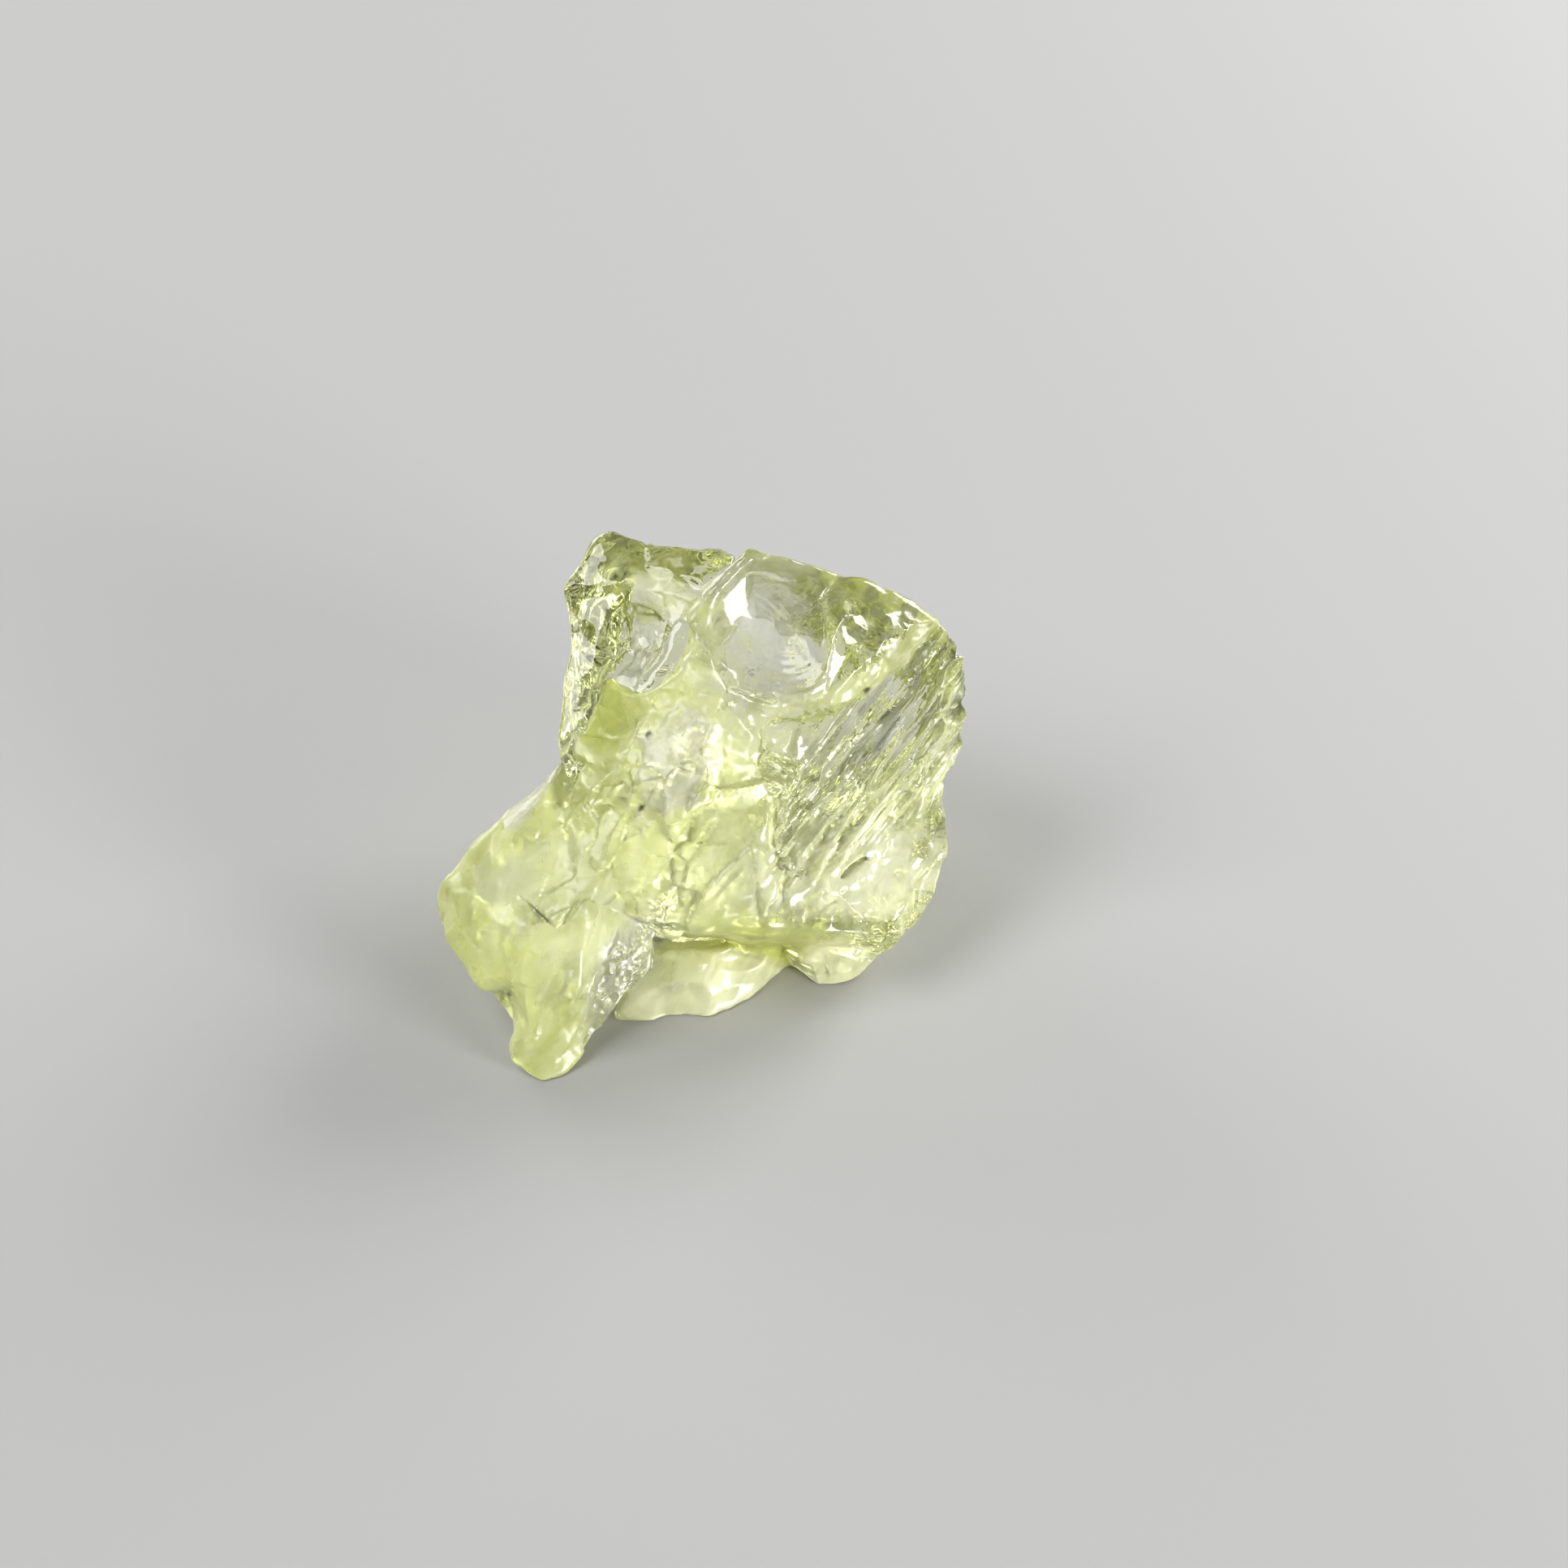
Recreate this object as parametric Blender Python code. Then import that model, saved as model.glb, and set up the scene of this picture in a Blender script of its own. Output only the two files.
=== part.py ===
"""A rough piece of prasiolite: one clear, yellow-green lump of quartz, broken on every side."""

import math

import bmesh
import bpy
import numpy as np
from mathutils import Matrix, Vector, noise

MM = 0.001

# The stone's corners are given in millimetres as an eye sees them that looks down on it from the
# front: to the right, up, and towards the eye, from a point near the middle of the stone.
EYE_TILT = math.radians(40)
EYE_DISTANCE = 440.0
FLOOR_BELOW_MIDDLE = 19.3

# Sizes of the broken surface, in millimetres. A chip's rim lies at a share of its spacing.
VOXEL = 0.36
BIG_CHIP = 8.0
BIG_CHIP_DEPTH = 0.9
SMALL_CHIP = 3.4
SMALL_CHIP_DEPTH = 0.38
CHIP_RIM = 0.75
RIDGE_SPACING = 1.35
RIDGE_HEIGHT = 0.55
RIDGE_SLANT = math.radians(55)
SMOOTHED = 0.9
MOST_TRIANGLES = 8600

# Where the eye sees the smooth window and the ridged face: the middle, the half widths, the turn,
# and how far back the face may lie.
WINDOW = ((-0.8, 12.6), (6.0, 7.5), 0.0, -4.0)
RIDGED = ((7.4, 2.6), (12.0, 5.2), RIDGE_SLANT, -9.0)

# The places that the stone rests on lie this low and face down. The chips fade out above them.
FLAT_UNDER = 0.15
FADED_UNDER = 1.6
FACING_DOWN = 0.8
DEPTH_BELOW_FLOOR = 60.0

BALL_SUBDIVISIONS = 4
COLOUR = (0.62, 0.68, 0.30, 1)
ROUGHNESS = 0.18
QUARTZ_IOR = 1.544
CLEARNESS = 0.8

# The upper front half of the stone, behind the ridge and the clear window.
CROWN = {
    "peak": (-2.6, 20.0, 0.0),
    "top_left": (-4.0, 19.2, -2.0),
    "top_middle": (6.4, 16.7, -1.5),
    "top_right": (12.2, 14.6, -3.0),
    "shoulder": (14.5, 12.7, -4.0),
    "right_corner": (16.0, 11.0, -5.0),
    "right_side": (15.9, 6.6, -6.0),
    "right_low": (15.1, 1.8, -6.5),
    "waist": (13.6, -1.2, -7.0),
    "ridge_high": (-6.0, 15.9, 0.5),
    "ridge_middle": (-9.2, 12.8, 1.0),
    "ridge_low": (-15.4, 8.1, 0.8),
    "ridge_end": (-18.4, 2.6, 0.0),
    "brow": (-6.0, -2.0, 3.2),
    "cheek": (-11.0, 3.0, 3.0),
    "front_low": (2.0, -8.0, 0.0),
    "back_top": (0.0, 14.0, -14.0),
    "back_right": (10.0, 10.0, -17.0),
    "back_low_right": (12.0, 2.0, -18.0),
    "back_low": (2.0, -2.0, -20.0),
    "back_left": (-8.0, 4.0, -12.0),
}
# The lower front half, which ends in a ledge over the slab.
BELLY = {
    "ledge_left": (-12.4, -11.3, 0.2),
    "ledge_middle": (-3.0, -12.4, -0.6),
    "ledge_right": (2.3, -12.6, -2.0),
    "ledge_end": (7.8, -13.2, -4.6),
    "low_right": (10.8, -12.0, -8.0),
    "right": (12.6, -7.7, -8.0),
    "hip": (13.6, -3.0, -7.0),
    "hip_top": (13.5, -1.2, -7.5),
    "brow": (-6.0, -2.0, 3.2),
    "left": (-19.0, -1.6, 0.9),
    "left_low": (-17.0, -8.9, 1.5),
    "left_high": (-17.0, 1.6, 1.5),
    "middle_high": (-10.0, 1.2, 2.9),
    "back_right": (10.0, -5.0, -20.0),
    "back_left": (-8.0, -2.0, -20.0),
    "floor_right": (6.0, -14.0, -15.0),
    "floor_left": (-6.0, -14.0, -15.0),
}
# The lump that reaches forward and left, and stands on its tip.
FOOT = {
    "tip": (-20.4, -25.7, 0.0),
    "tip_left": (-21.7, -24.6, -0.5),
    "shin_low": (-21.9, -21.0, -1.0),
    "shin": (-24.2, -17.5, -1.5),
    "jaw": (-28.2, -12.4, -2.0),
    "corner_low": (-29.7, -9.9, -2.0),
    "corner": (-29.4, -8.6, -1.0),
    "back_edge": (-25.4, -5.3, 0.0),
    "shoulder": (-22.6, -3.8, 0.5),
    "neck": (-20.2, 0.0, 0.2),
    "nape": (-18.5, 2.3, -2.5),
    "tip_right": (-18.7, -25.2, -0.5),
    "ankle": (-17.0, -23.2, -1.4),
    "heel": (-15.0, -20.6, -2.4),
    "heel_top": (-11.6, -16.0, -3.5),
    "inner": (-11.3, -13.0, -3.0),
    "face_high": (-17.0, -10.5, 1.6),
    "face_low": (-17.2, -14.6, 1.3),
    "cheek": (-22.5, -12.5, 1.8),
    "behind_corner": (-25.0, -8.0, -9.0),
    "behind_jaw": (-21.0, -13.0, -9.0),
    "behind_heel": (-15.5, -17.0, -8.0),
    "behind_neck": (-16.0, -2.0, -12.0),
    "behind_middle": (-12.0, -10.0, -12.0),
}
# The clear slab under the ledge.
SLAB = {
    "front_left": (-15.0, -21.2, -5.8),
    "front_middle": (-8.0, -21.3, -5.7),
    "front_right": (-5.2, -20.4, -6.7),
    "right": (-3.0, -19.3, -8.1),
    "far_right": (-0.2, -15.6, -12.0),
    "notch": (0.7, -14.9, -11.5),
    "top_left": (-12.0, -14.5, -4.6),
    "top_middle": (-6.5, -15.0, -5.0),
    "top_right": (-1.5, -13.5, -7.4),
    "back_left": (-14.0, -12.0, -17.0),
    "back_right": (0.0, -10.0, -19.5),
}
# The blunt point at the right of the slab.
TOE = {
    "tip": (3.3, -17.8, -9.9),
    "tip_right": (4.4, -17.7, -10.1),
    "right": (6.6, -15.7, -11.0),
    "far_right": (8.8, -14.0, -10.0),
    "edge": (10.0, -13.2, -9.2),
    "left": (1.2, -15.4, -11.8),
    "notch": (0.2, -14.9, -11.5),
    "top_left": (0.5, -12.8, -6.0),
    "top_right": (8.0, -12.8, -6.5),
    "back": (6.0, -9.5, -20.0),
}
# The clear block behind the ridge, which also carries the stone at the back.
REAR = {
    "top": (-14.3, 21.1, -12.0),
    "top_left": (-15.6, 20.6, -12.5),
    "top_middle": (-9.3, 20.5, -12.0),
    "top_right": (-4.0, 19.2, -11.0),
    "left_high": (-18.3, 16.7, -11.5),
    "left": (-18.5, 12.0, -10.5),
    "left_low": (-18.6, 2.4, -9.5),
    "left_bottom": (-16.5, -5.0, -14.0),
    "front_right": (-1.0, 15.0, -8.0),
    "back_top": (-12.0, 17.0, -22.0),
    "back_top_right": (-2.0, 14.0, -23.0),
    "back_left": (-15.0, 8.0, -22.0),
    "back_low": (-8.0, -5.5, -25.0),
    "back_low_right": (6.0, -5.0, -26.0),
    "back_right": (6.0, 8.0, -22.0),
}
# A low flake in the middle of the front.
FLAKE = {
    "left": (-13.0, 3.4, 1.6),
    "high": (-8.5, 6.3, 2.2),
    "right": (-5.8, 1.0, 3.9),
    "low_right": (-6.8, -2.2, 3.9),
    "low": (-9.5, -2.9, 3.3),
    "low_left": (-12.6, -2.4, 2.6),
    "root_left": (-12.0, 0.0, -3.0),
    "root_right": (-6.0, 0.0, -3.0),
    "root_high": (-9.0, 5.0, -3.0),
}
# A small spur that leans over the top of the window.
SPUR = {
    "tip": (-4.4, 11.9, 0.6),
    "tip_low": (-4.7, 11.0, 0.4),
    "root_high": (-8.2, 13.4, 0.9),
    "root_low": (-7.6, 9.6, 1.6),
    "behind": (-7.5, 11.5, -3.0),
}
BLOCKS = {
    "belly": BELLY,
    "foot": FOOT,
    "slab": SLAB,
    "toe": TOE,
    "rear": REAR,
    "flake": FLAKE,
    "spur": SPUR,
}

# Shell-shaped hollows: the middle of a ball, its half widths and its turn in the eye's plane.
SCOOPS = {
    "window": ((-0.8, 13.0, 5.2), (6.6, 8.2, 7.6), 15),
    "step": ((2.0, 3.6, 1.4), (4.6, 3.6, 4.2), 8),
    "striae": ((8.2, 3.2, -0.5), (12.6, 5.5, 4.4), 55),
    "top_chip": ((9.2, 16.9, 1.6), (4.6, 2.6, 4.4), -22),
    "shoulder": ((-17.6, 7.2, 4.6), (4.6, 6.6, 5.2), 35),
    "rear_left": ((-22.4, 9.0, -4.0), (5.0, 7.5, 9.0), 0),
    "rear_face": ((-12.6, 12.6, -1.5), (4.4, 5.6, 10.0), 30),
    "shin": ((-25.9, -22.0, 1.0), (3.5, 6.0, 7.0), -30),
    "foot_side": ((-12.6, -17.2, 4.0), (2.6, 6.0, 5.0), -30),
    "pocket": ((-13.4, -10.9, 2.6), (2.4, 2.0, 3.4), -15),
    "pit": ((-21.3, -10.4, 3.2), (2.9, 1.0, 2.6), -42),
    "pit_branch": ((-20.0, -10.6, 3.0), (2.0, 0.8, 2.2), 40),
    "slab_face": ((-8.6, -18.8, -1.6), (5.6, 2.9, 4.8), 0),
    "overhang": ((-1.8, -14.6, -2.6), (5.2, 1.9, 5.2), 0),
    "belly_right": ((12.6, -5.4, 0.6), (7.4, 6.4, 7.0), 60),
}

# Shell-shaped hollows under the stone, which leave flat places round them: the middle, in the
# stone's own frame, and the half widths.
UNDER_SCOOPS = {
    "under_front": ((-7.0, 3.5, -6.2), (6.5, 8.0, 7.8)),
    "under_back": ((1.8, 12.6, -6.6), (5.2, 5.6, 8.0)),
}


def place(right, up, towards):
    """The point in the stone's own frame, in millimetres, of a place that the eye sees."""
    nearer = 1 - towards / EYE_DISTANCE
    across, rise = right * nearer, up * nearer
    along = rise * math.sin(EYE_TILT) - towards * math.cos(EYE_TILT)
    height = rise * math.cos(EYE_TILT) + towards * math.sin(EYE_TILT) + FLOOR_BELOW_MIDDLE
    return Vector((across, along, height))


def seen(points):
    """How far right, up and towards the eye each point lies, in millimetres, as three arrays."""
    height = points[:, 2] - FLOOR_BELOW_MIDDLE
    towards = height * math.sin(EYE_TILT) - points[:, 1] * math.cos(EYE_TILT)
    nearer = 1 - towards / EYE_DISTANCE
    rise = points[:, 1] * math.sin(EYE_TILT) + height * math.cos(EYE_TILT)
    return points[:, 0] / nearer, rise / nearer, towards


def linked(name, mesh):
    """A new object that holds the mesh."""
    made = bpy.data.objects.new(name, mesh)
    bpy.context.scene.collection.objects.link(made)
    return made


def cutter(name, mesh):
    """A helper object, which isn't part of the stone."""
    made = linked(name, mesh)
    made.hide_render = True
    made.display_type = "WIRE"
    return made


def block(name, corners):
    """A mesh of the convex block of stone through its corners."""
    shape = bmesh.new()
    for corner in corners.values():
        shape.verts.new(place(*corner))
    hull = bmesh.ops.convex_hull(shape, input=shape.verts)
    left_over = hull["geom_interior"] + hull["geom_unused"]
    inside = {item for item in left_over if isinstance(item, bmesh.types.BMVert)}
    bmesh.ops.delete(shape, geom=list(inside), context="VERTS")
    bmesh.ops.recalc_face_normals(shape, faces=shape.faces)
    mesh = bpy.data.meshes.new(name)
    shape.to_mesh(mesh)
    shape.free()
    return mesh


def scoop(name, middle, half_widths, turn=None):
    """A mesh of a stretched ball. One with a turn is given as the eye sees it."""
    shape = bmesh.new()
    bmesh.ops.create_icosphere(shape, subdivisions=BALL_SUBDIVISIONS, radius=1)
    for vert in shape.verts:
        out = Vector(np.multiply(vert.co, half_widths))
        if turn is None:
            vert.co = Vector(middle) + out
        else:
            vert.co = place(*(Vector(middle) + Matrix.Rotation(math.radians(turn), 3, "Z") @ out))
    bmesh.ops.recalc_face_normals(shape, faces=shape.faces)
    mesh = bpy.data.meshes.new(name)
    shape.to_mesh(mesh)
    shape.free()
    return mesh


def add_boolean(stone, operation, other):
    boolean = stone.modifiers.new(other.name, "BOOLEAN")
    boolean.operation = operation
    boolean.object = other


def settle(stone):
    """Puts the modifiers' result into the object's own mesh."""
    graph = bpy.context.evaluated_depsgraph_get()
    mesh = bpy.data.meshes.new_from_object(stone.evaluated_get(graph))
    stone.modifiers.clear()
    stone.data = mesh


def chips(point, size):
    """How deep the shell-shaped chip is at a point, from 0 on its rim to 1 in its middle."""
    distances, _ = noise.voronoi(point / size)
    return max(0.0, 1 - (distances[0] / CHIP_RIM) ** 2)


def within(place_seen, middle, half_widths, turn, farthest):
    """1 in the middle of an ellipse that the eye sees, falling to 0 at its edge and 0 behind the stone."""
    right, up, towards = place_seen
    across, rise = right - middle[0], up - middle[1]
    along = (across * math.cos(turn) + rise * math.sin(turn)) / half_widths[0]
    beside = (rise * math.cos(turn) - across * math.sin(turn)) / half_widths[1]
    return np.clip(2 * (1 - np.hypot(along, beside)), 0, 1) * (towards > farthest)


def break_surface(mesh):
    """Chips the surface all over, and cuts the fan of fine ridges below the window."""
    count = len(mesh.vertices)
    points, normals = np.empty(count * 3), np.empty(count * 3)
    mesh.vertices.foreach_get("co", points)
    mesh.vertices.foreach_get("normal", normals)
    points, normals = points.reshape(-1, 3), normals.reshape(-1, 3)
    place_seen = seen(points)
    window, ridged = within(place_seen, *WINDOW), within(place_seen, *RIDGED)
    big = np.array([chips(Vector(point), BIG_CHIP) for point in points])
    small = np.array([chips(Vector(point), SMALL_CHIP) for point in points])
    depth = BIG_CHIP_DEPTH * big + SMALL_CHIP_DEPTH * small
    depth *= 1 - SMOOTHED * np.maximum(window, ridged)
    beside = place_seen[0] * math.sin(RIDGE_SLANT) - place_seen[1] * math.cos(RIDGE_SLANT)
    grooves = np.abs((beside / RIDGE_SPACING) % 1 - 0.5) * 2
    depth += RIDGE_HEIGHT * grooves * ridged
    depth -= depth.mean()
    depth *= np.clip((points[:, 2] - FLAT_UNDER) / (FADED_UNDER - FLAT_UNDER), 0, 1)
    points -= normals * depth[:, None]
    mesh.vertices.foreach_set("co", points.ravel())
    mesh.update()


def floor_cutter():
    """Everything below the floor, so that the stone gets flat places to rest on."""
    shape = bmesh.new()
    below = Matrix.Translation((0, 0, -DEPTH_BELOW_FLOOR)) @ Matrix.Scale(2 * DEPTH_BELOW_FLOOR, 4)
    bmesh.ops.create_cube(shape, size=1, matrix=below)
    mesh = bpy.data.meshes.new("below_floor")
    shape.to_mesh(mesh)
    shape.free()
    return mesh


def flatten(mesh):
    """Lays the flat places under the stone exactly on the floor."""
    for vertex in mesh.vertices:
        if vertex.co.z < FLAT_UNDER and vertex.normal.z < -FACING_DOWN or vertex.co.z < 0:
            vertex.co.z = 0


def quartz():
    """Clear yellow-green quartz."""
    material = bpy.data.materials.new("prasiolite")
    material.use_nodes = True
    shader = material.node_tree.nodes["Principled BSDF"]
    shader.inputs["Base Color"].default_value = COLOUR
    shader.inputs["Roughness"].default_value = ROUGHNESS
    shader.inputs["IOR"].default_value = QUARTZ_IOR
    shader.inputs["Transmission Weight"].default_value = CLEARNESS
    return material


def fused():
    """The blocks joined, the hollows scooped out and the base cut flat, as one even mesh."""
    stone = linked("prasiolite", block("prasiolite", CROWN))
    for name, corners in BLOCKS.items():
        add_boolean(stone, "UNION", cutter(name, block(name, corners)))
    for name, ball in {**SCOOPS, **UNDER_SCOOPS}.items():
        add_boolean(stone, "DIFFERENCE", cutter(name, scoop(name, *ball)))
    add_boolean(stone, "DIFFERENCE", cutter("below_floor", floor_cutter()))
    remesh = stone.modifiers.new("Even", "REMESH")
    remesh.mode = "VOXEL"
    remesh.voxel_size = VOXEL
    settle(stone)
    return stone


def thin_out(stone):
    """Leaves large triangles where the surface is plain and small ones at its edges."""
    decimate = stone.modifiers.new("Fewer", "DECIMATE")
    decimate.use_collapse_triangulate = True
    triangles = sum(len(face.vertices) - 2 for face in stone.data.polygons)
    decimate.ratio = MOST_TRIANGLES / triangles
    settle(stone)


def stand(stone):
    """Puts the origin below the middle of the stone, on the floor, and turns millimetres to metres."""
    corners = np.array([vertex.co for vertex in stone.data.vertices])
    centre = Vector((corners.min(axis=0) + corners.max(axis=0)) / 2)
    centre.z = 0
    stone.data.transform(Matrix.Scale(MM, 4) @ Matrix.Translation(-centre))


def main():
    for old in list(bpy.data.objects):
        bpy.data.objects.remove(old)
    stone = fused()
    break_surface(stone.data)
    thin_out(stone)
    flatten(stone.data)
    stand(stone)
    stone.data.materials.clear()
    stone.data.materials.append(quartz())


if __name__ == "__main__":
    main()
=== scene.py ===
"""The looks of a rough piece of prasiolite: clear to milky yellow-green quartz, broken on every side."""

import logging
import math
from collections.abc import Iterable
from dataclasses import dataclass
from enum import Enum
from typing import Any

import bmesh
import bpy
import numpy as np
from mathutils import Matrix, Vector


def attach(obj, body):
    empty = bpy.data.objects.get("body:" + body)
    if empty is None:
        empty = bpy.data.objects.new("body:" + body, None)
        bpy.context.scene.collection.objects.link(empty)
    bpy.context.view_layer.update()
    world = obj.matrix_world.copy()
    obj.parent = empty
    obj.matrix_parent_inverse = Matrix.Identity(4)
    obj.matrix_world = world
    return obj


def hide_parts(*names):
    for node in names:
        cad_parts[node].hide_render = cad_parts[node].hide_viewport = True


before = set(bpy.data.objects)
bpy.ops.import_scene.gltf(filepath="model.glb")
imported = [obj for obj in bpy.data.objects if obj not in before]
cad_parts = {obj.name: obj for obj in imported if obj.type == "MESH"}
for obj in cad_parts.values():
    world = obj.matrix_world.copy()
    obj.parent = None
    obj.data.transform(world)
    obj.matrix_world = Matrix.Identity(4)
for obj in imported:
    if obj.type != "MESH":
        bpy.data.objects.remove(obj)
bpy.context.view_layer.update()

LOG = logging.getLogger("prasiolite")
MM = 0.001
# In millimetres: how soon a mask ends towards the back, the size of its rags, and where the floor is left.
FADE = 1.0
RAG_SIZE = 2.0
OFF_FLOOR = (0.1, 1.2)
BODY = "root"
NODE = "prasiolite"
CELLS = {"voronoi_dimensions": "4D", "feature": "F1"}
Colour = tuple[float, float, float, float]
Way = tuple[float, float, float]
Edge = tuple[float, float]


def placed(name: str, data: Any) -> bpy.types.Object:
    """Puts a mesh, a light or a camera into the scene.

    Args:
        name: the new object's name.
        data: what it holds.

    Returns:
        The new object.
    """
    made = bpy.data.objects.new(name, data)
    bpy.context.scene.collection.objects.link(made)
    return made


class Op(Enum):
    """The Math nodes that an expression uses."""

    ADD = "ADD"
    SUBTRACT = "SUBTRACT"
    MULTIPLY = "MULTIPLY"
    DIVIDE = "DIVIDE"
    POWER = "POWER"
    LOWER = "MINIMUM"
    HIGHER = "MAXIMUM"
    SIZE = "ABSOLUTE"
    ROOT = "SQRT"
    REST = "FRACT"
    WAVE = "SINE"


class Region(Enum):
    """What the stone's mesh keeps at each of its points, for the finish to read."""

    MILK = "milk"
    WHITE = "white"
    # Painted light, where brightness is painted on.
    PAINTED_LIGHT = "painted_light"
    GREY = "grey"
    GREEN = "green"
    RIDGED = "ridged"
    # Painted shade.
    SHADE = "shade"
    # The dark specks, and the crack's line painted dark.
    DARK_MARKS = "dark_marks"


class Graph:
    """A node tree, for a material or for a mesh, that is built by expressions."""

    def __init__(self, tree: bpy.types.NodeTree) -> None:
        """Starts on a node tree."""
        self.tree = tree

    def node(self, kind: str, settings: dict[str, Any], inputs: dict[Any, Any]) -> bpy.types.Node:
        """Adds any node.

        Args:
            kind: the node's type.
            settings: its own settings, which are set first.
            inputs: a value or a link for each socket, by the socket's name or number.

        Returns:
            The new node.
        """
        made = self.tree.nodes.new(kind)
        for name, value in settings.items():
            setattr(made, name, value)
        for name, value in inputs.items():
            if isinstance(value, Value):
                self.tree.links.new(value.socket, made.inputs[name])
            elif isinstance(value, bpy.types.NodeSocket):
                self.tree.links.new(value, made.inputs[name])
            else:
                made.inputs[name].default_value = value
        return made

    def value(self, kind: str, settings: dict[str, Any], inputs: dict[Any, Any], output: Any = 0) -> "Value":
        """Adds any node and takes one of its outputs, by name or number."""
        return Value(self, self.node(kind, settings, inputs).outputs[output])

    def vector_math(self, operation: str, first: Any, second: Any, output: Any = "Vector") -> "Value":
        """Adds a Vector Math node. Its second input may be None."""
        inputs = {0: first} if second is None else {0: first, 1: second}
        return self.value("ShaderNodeVectorMath", {"operation": operation}, inputs, output)

    def blend(self, factor: "Value", first: Any, second: Any) -> "Value":
        """Goes from the first colour, at a factor of 0, to the second one, at 1."""
        return self.value("ShaderNodeMix", {"data_type": "RGBA"}, {0: factor, 6: first, 7: second}, 2)

    def noise(self, place: "Value", size: float, detail: float = 2.0, turbulence: float = 0.0) -> "Value":
        """Soft noise from 0 to 1, where size is that of a patch, in millimetres."""
        inputs = {"Vector": place, "Scale": 1 / size, "Detail": detail, "Distortion": turbulence}
        return self.value("ShaderNodeTexNoise", {}, inputs, 0)

    def region(self, region: Region) -> "Value":
        """What the mesh keeps of a region: 1 inside it and 0 outside."""
        return self.value("ShaderNodeAttribute", {"attribute_name": region.value}, {}, "Fac")

    def sway(self, place: "Value", size: float, reach: float) -> "Value":
        """A soft shift of a place, so that what is laid out on it isn't straight.

        Args:
            place: where, in millimetres.
            size: the size of a bend, in millimetres.
            reach: how far it shifts, in millimetres.

        Returns:
            The shift, in millimetres.
        """
        inputs = {"Vector": place, "Scale": 1 / size, "Detail": 1.0}
        noise = self.value("ShaderNodeTexNoise", {}, inputs, "Color")
        middle = self.vector_math("SUBTRACT", noise, (0.5, 0.5, 0.5))
        return self.vector_math("MULTIPLY", middle, (reach, reach, reach))

    def stretched(self, place: Any, way: Way, factor: Any) -> "Value":
        """Stretches places along one direction.

        Args:
            place: the places.
            way: the direction, as a unit vector.
            factor: how many times longer distances get along it. A pattern laid out on the places
                gets that many times shorter.

        Returns:
            The stretched places.
        """
        along = self.vector_math("DOT_PRODUCT", place, way, "Value") * (factor - 1)
        shift = self.vector_math("SCALE", way, None)
        self.tree.links.new(along.socket, shift.socket.node.inputs["Scale"])
        return self.vector_math("ADD", place, shift)

    def cell(self, place: "Value", size: Any, seed: Any) -> bpy.types.Node:
        """The node that finds the cell that a place is in. Its seed picks one pattern of cells."""
        return self.node("ShaderNodeTexVoronoi", CELLS, {"Vector": place, "W": seed, "Scale": 1 / size})

    def cells(self, place: "Value", size: Any, seed: Any) -> "Value":
        """The distance from a place to the middle of its cell, counted in cells."""
        return Value(self, self.cell(place, size, seed).outputs["Distance"])

    def facets(self, place: "Value", size: Any, seed: Any) -> "Value":
        """Flat faces, each with a slant of its own, with steps between them.

        Args:
            place: where, in millimetres.
            size: the size of a face, in millimetres.
            seed: picks one pattern of faces.

        Returns:
            How far the face lies above the middle, in millimetres.
        """
        cell = self.cell(place, size, seed)
        away = self.vector_math("SUBTRACT", place, cell.outputs["Position"])
        slant = self.vector_math("SUBTRACT", cell.outputs["Color"], (0.5, 0.5, 0.5))
        return self.vector_math("DOT_PRODUCT", away, slant, "Value")


class Value:
    """A number that varies over the stone. Expressions on it add Math nodes."""

    def __init__(self, graph: Graph, socket: bpy.types.NodeSocket) -> None:
        """Wraps the output that gives the number."""
        self.graph = graph
        self.socket = socket

    def math(self, op: Op, first: Any, second: Any = None) -> "Value":
        """Adds one Math node, with one input or two."""
        inputs = {0: first} if second is None else {0: first, 1: second}
        return self.graph.value("ShaderNodeMath", {"operation": op.value}, inputs)

    def __add__(self, other: Any) -> "Value":
        """The sum."""
        return self.math(Op.ADD, self, other)

    def __sub__(self, other: Any) -> "Value":
        """The difference."""
        return self.math(Op.SUBTRACT, self, other)

    def __rsub__(self, other: Any) -> "Value":
        """The difference, with a plain number first."""
        return self.math(Op.SUBTRACT, other, self)

    def __mul__(self, other: Any) -> "Value":
        """The product."""
        return self.math(Op.MULTIPLY, self, other)

    def __truediv__(self, other: Any) -> "Value":
        """The quotient."""
        return self.math(Op.DIVIDE, self, other)

    def __rtruediv__(self, other: Any) -> "Value":
        """The quotient, with a plain number first."""
        return self.math(Op.DIVIDE, other, self)

    def __pow__(self, other: Any) -> "Value":
        """The power."""
        return self.math(Op.POWER, self, other)

    def lower(self, other: Any) -> "Value":
        """The lower of the two."""
        return self.math(Op.LOWER, self, other)

    def higher(self, other: Any) -> "Value":
        """The higher of the two."""
        return self.math(Op.HIGHER, self, other)

    def size(self) -> "Value":
        """The number without its sign."""
        return self.math(Op.SIZE, self)

    def root(self) -> "Value":
        """The square root."""
        return self.math(Op.ROOT, self)

    def rest(self) -> "Value":
        """What is left above the whole number below."""
        return self.math(Op.REST, self)

    def wave(self) -> "Value":
        """The sine."""
        return self.math(Op.WAVE, self)

    def rise(self, low: float, high: float) -> "Value":
        """A smooth step.

        Args:
            low: where it is 0.
            high: where it is 1. It may be below low.

        Returns:
            A number from 0 to 1.
        """
        if low > high:
            return 1 - self.rise(high, low)
        settings = {"interpolation_type": "SMOOTHSTEP"}
        return self.graph.value("ShaderNodeMapRange", settings, {0: self, 1: low, 2: high})


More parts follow.
